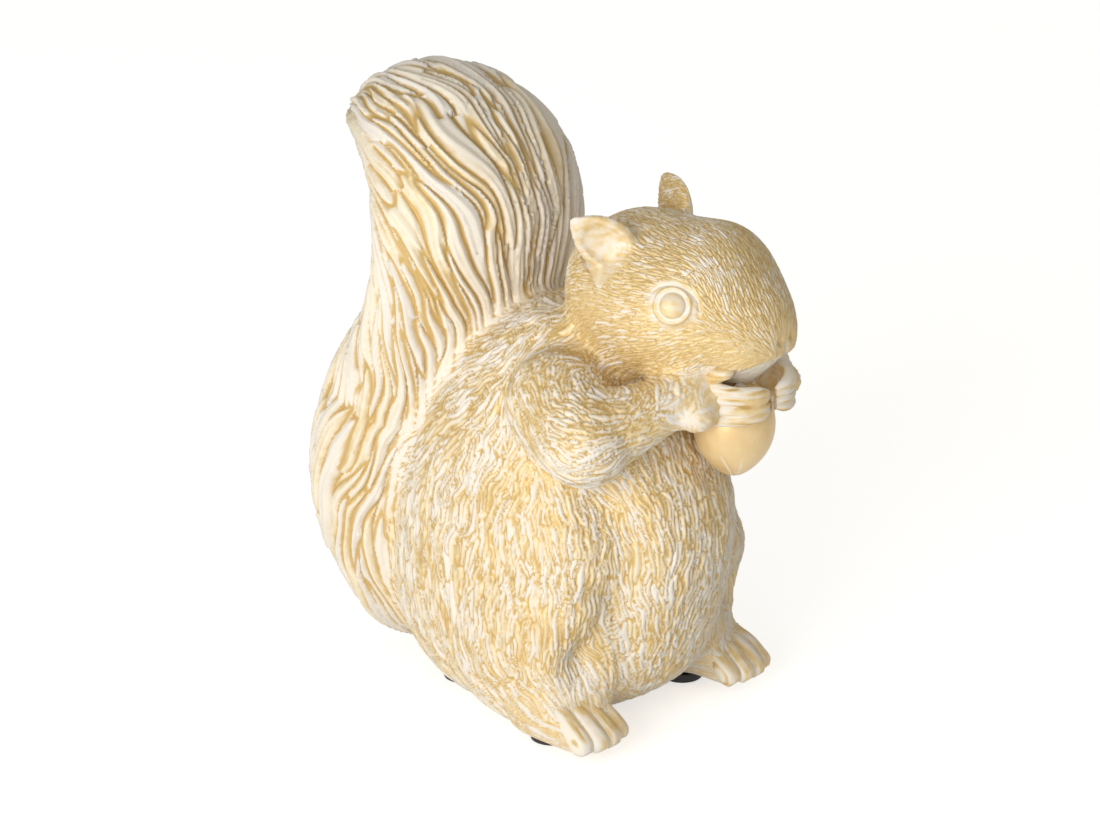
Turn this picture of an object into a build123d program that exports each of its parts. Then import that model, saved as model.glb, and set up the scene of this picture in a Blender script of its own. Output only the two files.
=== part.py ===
"""Squirrel figurine of painted cast resin, sitting up and holding a nut to its mouth.

The figure is glued together from castings: a torso with its haunches and hind feet,
a head that sits over the neck, a tail keyed to the back by two pegs, two arms and a nut.
Four rubber pads carry the figure.

Frame, in millimetres: +Z up from the surface that the figure stands on, the face looks
along -Y, the figure's left is +X, and the origin is below the middle of the figure's box.
"""

import os
from math import cos, radians, sin, sqrt

from build123d import *

os.makedirs("parts", exist_ok=True)

# Rubber pads under the base
pad_diameter = 11.0
pad_thickness = 2.5
pad_edge = 0.6
# Insets run from the torso's side, front or back to the middle of the pad
front_pad_inset = 13.0
front_pad_setback = 30.0
rear_pad_inset = 26.0
rear_pad_setback = 25.0

# Torso, from the underside of the resin to the top of the neck
torso_height = 108.0
torso_width = 78.0
torso_depth = 98.0
# Height, setback of the middle, width, depth
torso_section_shares = [
    (0.000, 0.040, 0.62, 0.54),
    (0.055, 0.040, 0.79, 0.72),
    (0.186, 0.026, 0.95, 0.93),
    (0.383, 0.000, 1.00, 1.00),
    (0.579, -0.015, 0.95, 0.95),
    (0.736, -0.017, 0.86, 0.785),
    (0.850, -0.045, 0.74, 0.64),
    (0.935, -0.085, 0.60, 0.48),
    (1.000, -0.115, 0.44, 0.34),
]

# Haunches
haunch_thickness = 34.0
haunch_length = 60.0
haunch_height = 60.0
haunch_inset = 15.0
haunch_reach = 10.5
haunch_flat = 2.0
# Place across the thickness, counted from the middle in half thicknesses
haunch_slice_shares = (-0.97, -0.80, -0.45, 0.0, 0.45, 0.80, 0.97)

# Hind feet
foot_length = 28.0
foot_width = 18.5
foot_height = 17.5
foot_inset = 10.0
foot_setback = 9.0
foot_flat = 1.5
# Place from heel to toes, width, height
foot_section_shares = [
    (0.00, 0.55, 0.60),
    (0.12, 0.85, 0.95),
    (0.40, 1.00, 1.00),
    (0.70, 0.96, 0.84),
    (0.88, 0.86, 0.66),
    (0.95, 0.62, 0.46),
]
toe_count = 4
toe_diameter = 6.0
toe_root_share = 0.42
toe_root_rise_share = 0.76
toe_tip_share = 0.86
toe_tip_rise_share = 0.50

# Head
head_length = 59.0
head_width = 46.0
head_height = 43.0
head_turn = 9.0
head_back_overhang = 5.0
head_lift = 5.0
# Place from the back of the head to the nose, rise of the middle, width, height
head_section_shares = [
    (0.00, 0.02, 0.22, 0.28),
    (0.06, 0.03, 0.61, 0.65),
    (0.17, 0.03, 0.83, 0.86),
    (0.32, 0.02, 0.96, 0.98),
    (0.50, 0.00, 1.00, 1.00),
    (0.68, 0.02, 0.89, 0.98),
    (0.83, 0.00, 0.70, 0.78),
    (0.94, -0.05, 0.49, 0.52),
    (1.00, -0.10, 0.26, 0.28),
]
eye_diameter = 12.0
eye_along_share = 0.63
eye_side_share = 0.37
eye_rise_share = 0.10

# Ears
ear_length = 21.5
ear_width = 14.0
ear_thickness = 5.0
ear_along_share = 0.37
ear_side_share = 0.27
ear_rise_share = 0.30
ear_cup_depth = 2.0
# Outward, back and up
ear_axis_shares = (0.50, 0.60, 0.62)
ear_face_shares = (0.95, 0.00, 0.30)
# Place along the ear, width, thickness
ear_section_shares = [
    (0.00, 0.70, 1.30),
    (0.25, 0.95, 1.10),
    (0.50, 1.00, 0.85),
    (0.75, 0.72, 0.60),
    (0.93, 0.34, 0.40),
    (1.00, 0.12, 0.25),
]
ear_cup_shares = [
    (0.16, 0.40, 0.60),
    (0.35, 0.68, 1.00),
    (0.55, 0.70, 1.00),
    (0.75, 0.42, 0.60),
]

# Nut, held below the mouth
nut_diameter = 21.0
nut_length = 25.0
nut_point = 1.5
glue_gap = 0.1
nut_along_share = 0.77
nut_reach = 2.1
nut_drop = 29.5

# Arms
# Side as a share of the torso's half width, setback of its depth, height of its height
shoulder_shares = (0.66, -0.215, 0.840)
elbow_shares = (0.80, -0.355, 0.795)
shoulder_diameter = 27.0
elbow_diameter = 24.0
forearm_diameter = 22.0
wrist_diameter = 12.0
wrist_spread = 30.0
wrist_setback = 2.0
wrist_lift_share = 0.46

# Hands: fingers laid round the nut
finger_count = 4
finger_diameter = 3.4
finger_tip_diameter = 3.0
finger_root_angle = 8.0
finger_bend_angle = 48.0
finger_tip_angle = 78.0
finger_low_share = 0.06
finger_high_share = 0.50
palm_diameter = 10.5

# Tail
tail_height = 146.0
tail_depth = 44.0
tail_width = 72.0
tail_thickness = 48.0
tail_seat = 8.0
# Setback from the seat, height, width, thickness
tail_section_shares = [
    (-0.04, 0.040, 0.42, 0.33),
    (0.06, 0.105, 0.74, 0.62),
    (0.17, 0.220, 0.94, 0.87),
    (0.20, 0.360, 1.00, 1.00),
    (0.07, 0.510, 0.97, 0.98),
    (-0.14, 0.650, 0.92, 0.86),
    (-0.25, 0.790, 0.92, 0.84),
    (-0.20, 0.905, 0.89, 0.80),
    (0.02, 0.980, 0.78, 0.68),
    (0.36, 1.000, 0.53, 0.48),
    (0.68, 0.965, 0.17, 0.17),
]

# Pegs that key the tail to the torso's back
peg_diameter = 8.0
peg_depth = 6.0
peg_clearance = 0.2
peg_height_shares = (0.22, 0.48)

# Places that follow from the sizes
base_z = pad_thickness
torso_side = torso_width / 2
torso_front = -torso_depth / 2
torso_rear = torso_depth / 2
left = Vector(1, 0, 0)
up = Vector(0, 0, 1)


def torso_point(side_share, setback_share, height_share):
    """A point placed in shares of the torso's half width, depth and height."""
    return Vector(
        side_share * torso_side,
        setback_share * torso_depth,
        base_z + height_share * torso_height,
    )


def ellipse_loft(sections):
    """A solid skinned over ellipses. A section is its plane, width and height."""
    with BuildPart() as form:
        for plane, width, height in sections:
            with BuildSketch(plane):
                Ellipse(width / 2, height / 2)
        loft()
    return form.part


def spine_planes(points, across):
    """A plane at each point of a spine, square to the run between its neighbours."""
    planes = []
    for index, point in enumerate(points):
        ahead = points[min(index + 1, len(points) - 1)]
        behind = points[max(index - 1, 0)]
        planes.append(Plane(origin=point, x_dir=across, z_dir=(ahead - behind).normalized()))
    return planes


def rod(start, end, start_diameter, end_diameter):
    """A straight rod with round ends, turned about its own axis."""
    run = end - start
    near, far = start_diameter / 2, end_diameter / 2
    section = Plane(origin=start, x_dir=run.cross(Vector(run.Y, run.Z, run.X)).normalized(), z_dir=run)
    profile = Plane(origin=start, x_dir=section.x_dir, z_dir=section.x_dir.cross(run))
    with BuildPart() as form:
        with BuildSketch(profile):
            with BuildLine():
                RadiusArc((0, -near), (near, 0), -near)
                Line((near, 0), (far, run.length))
                RadiusArc((far, run.length), (0, run.length + far), -far)
                Line((0, run.length + far), (0, -near))
            make_face()
        revolve(axis=Axis(start, run))
    return form.part


# Outer form of the torso
trunk = ellipse_loft(
    [
        (Plane(origin=torso_point(0, setback, height)), torso_width * width, torso_depth * depth)
        for height, setback, width, depth in torso_section_shares
    ]
)


def haunch(side):
    """One thigh: slices of an egg, side by side across the figure."""
    centre = Vector(
        side * (torso_side - haunch_inset),
        -haunch_reach,
        base_z + haunch_height / 2 - haunch_flat,
    )
    return ellipse_loft(
        [
            (
                Plane(
                    origin=centre + left * (slice_share * haunch_thickness / 2),
                    x_dir=(0, 1, 0),
                    z_dir=(1, 0, 0),
                ),
                haunch_length * sqrt(1 - slice_share**2),
                haunch_height * sqrt(1 - slice_share**2),
            )
            for slice_share in haunch_slice_shares
        ]
    )


def foot(side):
    """One hind foot, with its sole below the base plane, ready to be cut flat."""
    heel = Vector(
        side * (torso_side - foot_inset),
        torso_front + foot_setback + foot_length,
        base_z - foot_flat,
    )
    forward = Vector(0, -foot_length, 0)
    sole = ellipse_loft(
        [
            (
                Plane(
                    origin=heel + forward * along + up * (foot_height * height / 2),
                    x_dir=(1, 0, 0),
                    z_dir=(0, -1, 0),
                ),
                foot_width * width,
                foot_height * height,
            )
            for along, width, height in foot_section_shares
        ]
    )
    toe_pitch = (foot_width - toe_diameter) / (toe_count - 1)
    toes = []
    for index in range(toe_count):
        across = left * ((index - (toe_count - 1) / 2) * toe_pitch)
        root = heel + forward * toe_root_share + across + up * (foot_height * toe_root_rise_share)
        tip = heel + forward * toe_tip_share + across + up * (foot_height * toe_tip_rise_share)
        toes.append(rod(root, tip, toe_diameter, toe_diameter))
    return [sole, *toes]


with BuildPart() as torso_form:
    add(trunk)
    for side in (-1, 1):
        add(haunch(side))
        add(foot(side))
    split(bisect_by=Plane.XY.offset(base_z), keep=Keep.TOP)


# Tail spine and its pegs
tail_seat_y = torso_rear - tail_seat
tail_points = [
    Vector(0, tail_seat_y + setback * tail_depth, base_z + height * tail_height)
    for setback, height, width, thickness in tail_section_shares
]
peg_points = [Vector(0, tail_seat_y, base_z + share * torso_height) for share in peg_height_shares]


def torso_back(height):
    """How far back the torso's mid line reaches at a height, between two of its sections."""
    share = (height - base_z) / torso_height
    for low, high in zip(torso_section_shares, torso_section_shares[1:]):
        if share <= high[0]:
            mix = (share - low[0]) / (high[0] - low[0])
            reach = [row[1] + row[3] / 2 for row in (low, high)]
            return torso_depth * (reach[0] + mix * (reach[1] - reach[0]))
    return 0.0


def peg(point, clearance):
    """A peg along Y, from inside the tail to its depth in the torso's back."""
    inner = torso_back(point.Z) - peg_depth - clearance
    with BuildPart() as rod:
        with BuildSketch(Plane(origin=(point.X, inner, point.Z), x_dir=(1, 0, 0), z_dir=(0, 1, 0))):
            Circle(peg_diameter / 2 + clearance)
        extrude(amount=peg_depth + clearance + tail_seat)
    return rod.part


# Torso: the outer form with the tail's two sockets
with BuildPart() as torso:
    add(torso_form.part)
    for point in peg_points:
        add(peg(point, peg_clearance), mode=Mode.SUBTRACT)
torso.part.label = "torso"

# Head, seated over the neck
neck = torso_point(0, torso_section_shares[-1][1], 1)
head_origin = neck + Vector(0, head_back_overhang, head_lift)
face_forward = Vector(sin(radians(head_turn)), -cos(radians(head_turn)), 0)
face_left = Vector(cos(radians(head_turn)), sin(radians(head_turn)), 0)


def head_point(along_share, side_share, rise_share):
    """A point placed in shares of the head's length, width and height."""
    return (
        head_origin
        + face_forward * (along_share * head_length)
        + face_left * (side_share * head_width)
        + up * (rise_share * head_height)
    )


def ear_direction(side, shares):
    """A direction given outward, back and up, for one side of the head."""
    outward, back, rise = shares
    return (face_left * (side * outward) - face_forward * back + up * rise).normalized()


def ear(side):
    """One ear: a leaf-shaped lobe and the hollow that is cut into its face."""
    root = head_point(ear_along_share, side * ear_side_share, ear_rise_share)
    axis = ear_direction(side, ear_axis_shares)
    face = ear_direction(side, ear_face_shares)
    across = axis.cross(face).normalized()
    lobe = [
        (
            Plane(origin=root + axis * (along * ear_length), x_dir=across, z_dir=axis),
            ear_width * width,
            ear_thickness * thickness,
        )
        for along, width, thickness in ear_section_shares
    ]
    outward = across.cross(axis) * (1 if across.cross(axis).dot(face) > 0 else -1)
    cup = [
        (
            Plane(
                origin=root + axis * (along * ear_length) + outward * (ear_thickness / 2),
                x_dir=across,
                z_dir=axis,
            ),
            ear_width * width,
            2 * ear_cup_depth * depth,
        )
        for along, width, depth in ear_cup_shares
    ]
    return ellipse_loft(lobe), ellipse_loft(cup)


# Nut, upright below the muzzle and ahead of the belly
nut_centre = Vector(
    head_point(nut_along_share, 0, 0).X,
    torso_front - nut_reach,
    head_origin.Z - nut_drop,
)


def nut_form(growth):
    """The nut, turned about its upright axis and grown by a margin."""
    half_length = nut_length / 2 + growth
    reach = nut_diameter / 2 + growth
    with BuildPart() as form:
        with BuildSketch(Plane(origin=nut_centre, x_dir=(1, 0, 0), z_dir=(0, -1, 0))):
            with BuildLine():
                low_end = (0, -half_length - nut_point)
                belly = (reach, 0)
                high_end = (0, half_length)
                Spline(low_end, belly, tangents=[(1, 0.35), (0, 1)])
                Spline(belly, high_end, tangents=[(0, 1), (-1, 0)])
                Line(high_end, low_end)
            make_face()
        revolve(axis=Axis(nut_centre, (0, 0, 1)))
    return form.part


with BuildPart() as nut:
    add(nut_form(0))
nut.part.label = "nut"

with BuildPart() as head:
    add(
        ellipse_loft(
            [
                (
                    Plane(origin=head_point(along, 0, rise), x_dir=face_left, z_dir=face_forward),
                    head_width * width,
                    head_height * height,
                )
                for along, rise, width, height in head_section_shares
            ]
        )
    )
    for side in (-1, 1):
        lobe, cup = ear(side)
        add(lobe)
        add(cup, mode=Mode.SUBTRACT)
        with Locations(head_point(eye_along_share, side * eye_side_share, eye_rise_share)):
            Sphere(eye_diameter / 2)
    add(trunk, mode=Mode.SUBTRACT)
    add(nut_form(glue_gap), mode=Mode.SUBTRACT)
head.part.label = "head"

# Tail, seated against the back
with BuildPart() as tail:
    add(
        ellipse_loft(
            [
                (plane, tail_width * row[2], tail_thickness * row[3])
                for plane, row in zip(spine_planes(tail_points, left), tail_section_shares)
            ]
        )
    )
    split(bisect_by=Plane.XY.offset(base_z), keep=Keep.TOP)
    add(trunk, mode=Mode.SUBTRACT)
    add(head.part, mode=Mode.SUBTRACT)
    for point in peg_points:
        add(peg(point, 0))
tail.part.label = "tail"


# Arms
def wrap_point(side, angle, height, thickness):
    """A rod's bend beside the nut and clear of it, at an angle from the side towards the front."""
    reach = nut_diameter / 2 + glue_gap + thickness / 2
    reach /= cos(radians(finger_bend_angle - finger_root_angle) / 2)
    return nut_centre + Vector(
        side * reach * cos(radians(angle)), -reach * sin(radians(angle)), height
    )


def arm(side):
    """One arm: upper arm, forearm, palm and fingers."""
    shoulder = torso_point(side * shoulder_shares[0], shoulder_shares[1], shoulder_shares[2])
    elbow = torso_point(side * elbow_shares[0], elbow_shares[1], elbow_shares[2])
    wrist = nut_centre + Vector(side * wrist_spread / 2, wrist_setback, nut_length * wrist_lift_share)
    pieces = [
        rod(shoulder, elbow, shoulder_diameter, elbow_diameter),
        rod(elbow, wrist, forearm_diameter, wrist_diameter),
    ]
    finger_band = nut_length * (finger_high_share - finger_low_share)
    for index in range(finger_count):
        height = nut_length * finger_low_share + finger_band * index / (finger_count - 1)
        root, bend, tip = (
            wrap_point(side, angle, height, finger_diameter)
            for angle in (finger_root_angle, finger_bend_angle, finger_tip_angle)
        )
        pieces.append(rod(root, bend, finger_diameter, finger_diameter))
        pieces.append(rod(bend, tip, finger_tip_diameter, finger_tip_diameter))
    middle = nut_length * (finger_low_share + finger_high_share) / 2
    palm = wrap_point(side, finger_root_angle, middle, palm_diameter)
    pieces.append(rod(wrist, palm, palm_diameter, palm_diameter))
    return pieces


arms = {}
for side, name in ((-1, "right_arm"), (1, "left_arm")):
    with BuildPart() as arm_casting:
        add(arm(side))
        add(trunk, mode=Mode.SUBTRACT)
        add(haunch(side), mode=Mode.SUBTRACT)
        add(head.part, mode=Mode.SUBTRACT)
    arm_casting.part.label = name
    arms[name] = arm_casting.part

# Rubber pads, stuck to the underside
pad_places = {
    "pad_front_right": (front_pad_inset - torso_side, torso_front + front_pad_setback),
    "pad_front_left": (torso_side - front_pad_inset, torso_front + front_pad_setback),
    "pad_rear_right": (rear_pad_inset - torso_side, torso_rear - rear_pad_setback),
    "pad_rear_left": (torso_side - rear_pad_inset, torso_rear - rear_pad_setback),
}
pads = {}
for name, (x, y) in pad_places.items():
    with BuildPart() as pad:
        with BuildSketch(Plane(origin=(x, y, 0))):
            Circle(pad_diameter / 2)
        extrude(amount=pad_thickness)
        fillet(pad.edges().sort_by(Axis.Z)[0], radius=pad_edge)
    pad.part.label = name
    pads[name] = pad.part

pieces = {
    "torso": torso.part,
    "head": head.part,
    "tail": tail.part,
    "nut": nut.part,
    **arms,
    **pads,
}

# Shift the figure so that the origin is below the middle of its box
boxes = [piece.bounding_box() for piece in pieces.values()]
middle_x = (min(box.min.X for box in boxes) + max(box.max.X for box in boxes)) / 2
middle_y = (min(box.min.Y for box in boxes) + max(box.max.Y for box in boxes)) / 2
for name, piece in pieces.items():
    export_step(piece.moved(Location((-middle_x, -middle_y, 0))), f"parts/{name}.step")
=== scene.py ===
"""The looks of a squirrel figurine: gold paint and a white wash over carved resin hair.

Lengths are written in millimetres and multiplied by mm where Blender needs metres.
The figure faces -Y, its left is +X, and it stands on z = 0.
"""

import math

import bpy
import numpy as np
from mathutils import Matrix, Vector, kdtree, noise
from mathutils.bvhtree import BVHTree


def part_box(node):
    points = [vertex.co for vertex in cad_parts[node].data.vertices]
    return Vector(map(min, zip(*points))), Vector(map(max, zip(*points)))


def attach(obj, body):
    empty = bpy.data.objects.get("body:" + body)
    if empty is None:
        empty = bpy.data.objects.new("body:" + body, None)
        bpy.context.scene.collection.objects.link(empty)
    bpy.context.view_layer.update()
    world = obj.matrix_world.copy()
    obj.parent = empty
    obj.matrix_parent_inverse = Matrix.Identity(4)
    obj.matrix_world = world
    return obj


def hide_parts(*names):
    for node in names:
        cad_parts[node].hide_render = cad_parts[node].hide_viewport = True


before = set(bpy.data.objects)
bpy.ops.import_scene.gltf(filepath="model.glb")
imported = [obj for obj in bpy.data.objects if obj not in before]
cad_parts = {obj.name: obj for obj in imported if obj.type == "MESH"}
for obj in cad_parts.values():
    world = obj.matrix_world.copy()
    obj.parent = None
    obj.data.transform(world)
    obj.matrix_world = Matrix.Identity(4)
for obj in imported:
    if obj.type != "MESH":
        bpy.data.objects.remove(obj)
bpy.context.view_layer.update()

# Clay model
# The sculptor models the whole animal in one lump of clay, so that the head, the arms and
# the tail flow into the body. The solids are joined, skinned over and smoothed at their seams.
mm = 0.001
casting_names = ["torso", "head", "tail", "right_arm", "left_arm"]
skin_step = 1.0
seam_width = 5.0
seam_passes = 34
stair_passes = 3
crease_passes = 6
digit_passes = 7
toe_passes = 18
blend_width = 7.0
merge_gap = 0.001
smoothing_pull = 0.5
# The paw's place is counted from the middle of the nut
paw_place = (11.0, -3.0, 7.0)
toe_place = (29.0, -36.0, 8.0)
digit_reach = 14.0
toe_reach = 16.0


def select_only(piece):
    """Make one object the selected and active one."""
    bpy.ops.object.select_all(action="DESELECT")
    piece.select_set(True)
    bpy.context.view_layer.objects.active = piece


def copy_of_node(name):
    """A new object with a merged copy of a solid's mesh."""
    piece = bpy.data.objects.new(name + "_clay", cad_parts[name].data.copy())
    bpy.context.scene.collection.objects.link(piece)
    piece.data.materials.clear()
    select_only(piece)
    bpy.ops.object.mode_set(mode="EDIT")
    bpy.ops.mesh.select_all(action="SELECT")
    bpy.ops.mesh.remove_doubles(threshold=merge_gap * mm)
    bpy.ops.object.mode_set(mode="OBJECT")
    return piece


def points_of(piece):
    """A mesh's vertices in millimetres."""
    flat = np.empty(len(piece.data.vertices) * 3)
    piece.data.vertices.foreach_get("co", flat)
    return flat.reshape(-1, 3) / mm


def normals_of(piece):
    """A mesh's vertex normals."""
    flat = np.empty(len(piece.data.vertices) * 3)
    piece.data.vertex_normals.foreach_get("vector", flat)
    return flat.reshape(-1, 3)


def move_points(piece, points):
    """Put a mesh's vertices at places in millimetres."""
    piece.data.vertices.foreach_set("co", (points * mm).ravel())
    piece.data.update()


def write_values(piece, name, values):
    """Store one number at each vertex."""
    piece.data.attributes.new(name, "FLOAT", "POINT")
    piece.data.attributes[name].data.foreach_set("value", values)


def read_values(piece, name):
    """The numbers stored at the vertices."""
    values = np.empty(len(piece.data.vertices))
    piece.data.attributes[name].data.foreach_get("value", values)
    return values


def smoothed(piece, points, weights, passes):
    """Points drawn towards the middle of their neighbours, as far as their weights allow."""
    ends = np.empty(len(piece.data.edges) * 2, int)
    piece.data.edges.foreach_get("vertices", ends)
    first, second = ends[0::2], ends[1::2]
    count = len(points)
    valence = np.bincount(first, minlength=count) + np.bincount(second, minlength=count)
    for _ in range(passes):
        middle = np.empty_like(points)
        for axis in range(3):
            total = np.bincount(first, points[second, axis], count)
            total += np.bincount(second, points[first, axis], count)
            middle[:, axis] = total / valence
        points = points + smoothing_pull * weights[:, None] * (middle - points)
    return points


def closeness(points, centres, reach):
    """How near each point is to any of the centres, from 0 to 1."""
    gaps = np.linalg.norm(points[:, None] - np.array(centres)[None], axis=2).min(1)
    return np.exp(-((gaps / reach) ** 2))


def smooth_step(low, high, values):
    """An even ramp from 0 at low to 1 at high, with soft ends."""
    share = np.clip((values - low) / (high - low), 0, 1)
    return share * share * (3 - 2 * share)


clay = [copy_of_node(name) for name in casting_names]
bpy.ops.object.select_all(action="DESELECT")
for lump in clay:
    lump.select_set(True)
skin = clay[0]
bpy.context.view_layer.objects.active = skin
bpy.ops.object.join()
skin.data.remesh_voxel_size = skin_step * mm
bpy.ops.object.voxel_remesh()

solid_trees = []
for name in casting_names:
    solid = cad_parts[name].data
    corners = [vertex.co for vertex in solid.vertices]
    solid_trees.append(BVHTree.FromPolygons(corners, [face.vertices for face in solid.polygons]))
points = points_of(skin)
solid_gaps = np.array([[tree.find_nearest(p)[3] / mm for tree in solid_trees] for p in points * mm])
owner = solid_gaps.argmin(1)
seam = np.exp(-((np.sort(solid_gaps, 1)[:, 1] / seam_width) ** 2))

nut_low, nut_high = (np.array(corner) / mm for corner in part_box("nut"))
nut_middle = (nut_low + nut_high) / 2
paw_centres = [nut_middle + paw_place * np.array([side, 1, 1]) for side in (-1, 1)]
toe_centres = [toe_place * np.array([side, 1, 1]) for side in (-1, 1)]
digits = closeness(points, paw_centres, digit_reach)
digits = np.maximum(digits, closeness(points, toe_centres, digit_reach))
on_torso = owner == casting_names.index("torso")
points = smoothed(skin, points, np.ones(len(points)), stair_passes)
points = smoothed(skin, points, (1 - digits) * on_torso, crease_passes)
points = smoothed(skin, points, seam * (1 - digits), seam_passes)
points = smoothed(skin, points, digits, digit_passes)
points = smoothed(skin, points, closeness(points, toe_centres, toe_reach), toe_passes)
move_points(skin, points)


def share_of(*names):
    """How far each vertex belongs to some castings, easing from 0 to 1 across their seams."""
    chosen = [casting_names.index(name) for name in names]
    own = solid_gaps[:, chosen].min(1)
    others = np.delete(solid_gaps, chosen, 1).min(1)
    return smooth_step(-blend_width, blend_width, others - own)


write_values(skin, "head_share", share_of("head"))
write_values(skin, "tail_share", share_of("tail"))
write_values(skin, "arm_share", share_of("right_arm", "left_arm"))
write_values(skin, "digit_share", digits)

# Each face remembers the casting that it belongs to, by its material slot
for name in casting_names:
    skin.data.materials.append(bpy.data.materials.new(name + "_mark"))
face_owner = np.array([owner[face.vertices[0]] for face in skin.data.polygons])
skin.data.polygons.foreach_set("material_index", face_owner)
rounding = skin.modifiers.new("rounding", "SUBSURF")
rounding.levels = rounding.render_levels = 1
select_only(skin)
bpy.ops.object.modifier_apply(modifier=rounding.name)

# The head has the finest hair, so its faces are divided once more
bpy.ops.object.mode_set(mode="EDIT")
bpy.ops.mesh.select_all(action="DESELECT")
skin.active_material_index = casting_names.index("head")
bpy.ops.object.material_slot_select()
bpy.ops.mesh.subdivide(number_cuts=1)
bpy.ops.object.mode_set(mode="OBJECT")

# Face, ears, paws and haunches
# Before the hair goes in, the features are pressed and drawn out of the smooth clay: the lids, the
# nose, a lip that overhangs the mouth, cupped ears, and a fold beside the belly. The palms and the
# insteps are made ready for the fingers and toes that are laid on them later.
fold_line = [(24, -39, 69), (22.5, -44, 59), (22.3, -44.5, 46.5), (26, -43.7, 36.5), (30, -42, 28)]
fold_depth, fold_width = 4.2, 8.0
haunch_place = (36.0, -32.0, 50.0)
haunch_swell, haunch_reach = 1.8, 17.0

# Places on the head: forward from its back, outward from its middle, upward
head_turn = math.radians(9.0)
head_back = np.array([0.0, -10.43, 115.5])
face_forward = np.array([math.sin(head_turn), -math.cos(head_turn), 0.0])
face_left = np.array([math.cos(head_turn), math.sin(head_turn), 0.0])
face_up = np.array([0.0, 0.0, 1.0])
eye_place = (37.2, 17.0, 4.3)
eye_shift = (1.0, 0.0, 1.5)
eye_shift_reach = 11.0
eye_look = (0.28, 0.92, 0.26)
brow_way = (0.25, 0.0, 1.0)
eye_depth, eye_reach = 3.0, 12.0
lid_radius, lid_width, lid_height = 4.3, 0.5, 0.45
lid_line_radius, lid_line_width, lid_line_depth, lid_line_groove = 3.7, 0.35, 0.6, 0.35
lid_fold_radius, lid_fold_stretch, lid_fold_depth, lid_fold_groove = 5.0, 1.35, 0.7, 0.3
upper_lid_heights = (-1.5, 2.0)
lid_hair_radii, lid_smooth_radii, lid_bare_radii = (4.6, 7.5), (4.5, 7.0), (4.5, 6.0)
lid_bare = 0.45

ear_root = (21.8, 12.4, 12.9)
ear_axis = (-0.60, 0.50, 0.62)
ear_face = (0.0, 0.95, 0.30)
ear_length = 21.5
ear_width_shares = [(0.0, 0.70), (0.25, 0.95), (0.5, 1.0), (0.75, 0.72), (0.93, 0.34), (1.0, 0.12)]
ear_width = 14.0
ear_wider = {-1: 0.0, 1: 0.2}
ear_shorter = 0.12
ear_start = (1.5, 5.0)
ear_half_space, ear_half_depth = 9.0, 6.0
ear_facing = (-0.1, 0.35)
cup_sides, cup_start, cup_end = (0.45, 0.8), (2.0, 6.0), (14.0, 19.0)
cup_depth, cup_hair_cut, cup_bare = 0.9, 0.97, 0.3

nose_tip = (58.0, 0.0, -3.5)
nose_shift = (1.5, 0.0, -0.6)
nose_reach, nose_hair_reach, nose_hair_cut = 6.0, 5.0, 0.7
nostril_place = (60.5, 2.6, -4.0)
nostril_depth, nostril_reach, nostril_bare, nostril_bare_reach = 1.2, 1.2, 0.6, 2.0
lip_line = [(40, -9.5), (47, -9.0), (52, -9.8), (58, -7.5), (62, -7.0)]
lip_edge, lip_depth, lip_groove, lip_hair_cut = 1.6, 2.2, 0.5, 0.5
mouth_corner = (40.0, 47.0)
jaw_place = (48.0, 0.0, -15.0)
jaw_shift = (1.0, 0.0, -3.5)
jaw_reach = 9.0
cleft_place = (60.0, 0.0, -8.0)
cleft_reach, cleft_width, cleft_depth, cleft_groove = 4.5, 0.9, 1.4, 0.72
whisker_place = (52.0, 7.5, -6.5)
whisker_swell, whisker_reach, whisker_hair_reach, whisker_hair_cut = 1.7, 5.0, 4.5, 0.5
# Where the wash was rubbed away from the head: place, radius and how much
rubbed_places = [
    ((59, 0, -2), 5, 0.6),
    ((50, 11, -6), 6, 0.6),
    ((30, 20, -8), 8, 0.6),
    ((12, 21, -2), 9, 0.65),
    ((44, 8, 19), 7, 0.4),
]

foot_middle = 29.0
instep_place = (foot_middle, -43.0, 25.0)
instep_push, instep_reach = 6.0, 10.0
digit_hair_cut = 0.5
# The palm's place is counted from the middle of the nut
palm_place = (9.0, -8.0, 6.0)
palm_reach = 13.0
palm_bottom = 90.0
palm_lift, palm_most_lift = 0.9, 14.0
palm_arm_share = 0.3
palm_spread = (15.0, 20.0)
palm_tuck = 0.4
palm_ahead = (0.3, 0.6)
palm_depth, palm_bare, palm_hair_cut, palm_hair_gain = 0.9, 0.45, 0.75, 1.6
palm_smooth_gain = 2.0
palm_passes = 25


def face_vector(forward, outward, upward, side=1):
    """A vector given along the face's own directions, for one side of the head."""
    return forward * face_forward + side * outward * face_left + upward * face_up


def face_place(forward, outward, upward, side=1):
    """A place on the head, for one side of it."""
    return head_back + face_vector(forward, outward, upward, side)


def unit(vectors):
    """Vectors at length 1."""
    return vectors / np.maximum(np.linalg.norm(vectors, axis=-1, keepdims=True), 1e-9)


def ring(distance, radius, width):
    """1 at a radius, fading to 0 over a width on both sides."""
    return np.exp(-(((distance - radius) / width) ** 2))


def gap_to_line(points, line):
    """How far the points are from a line of straight runs."""
    gaps = []
    for start, end in zip(line, line[1:]):
        run = end - start
        share = np.clip((points - start) @ run / (run @ run), 0, 1)
        gaps.append(np.linalg.norm(points - start - share[:, None] * run, axis=1))
    return np.min(gaps, 0)


points = points_of(skin)
normals = normals_of(skin)
head_share = read_values(skin, "head_share")
tail_share = read_values(skin, "tail_share")
arm_share = read_values(skin, "arm_share")
digit_share = read_values(skin, "digit_share")
press = np.zeros(len(points))
hair_left = 1 - digit_hair_cut * digit_share
bare = np.zeros(len(points))
smooth_skin = np.zeros(len(points))
groove = np.zeros(len(points))
palms = np.zeros(len(points))

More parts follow.
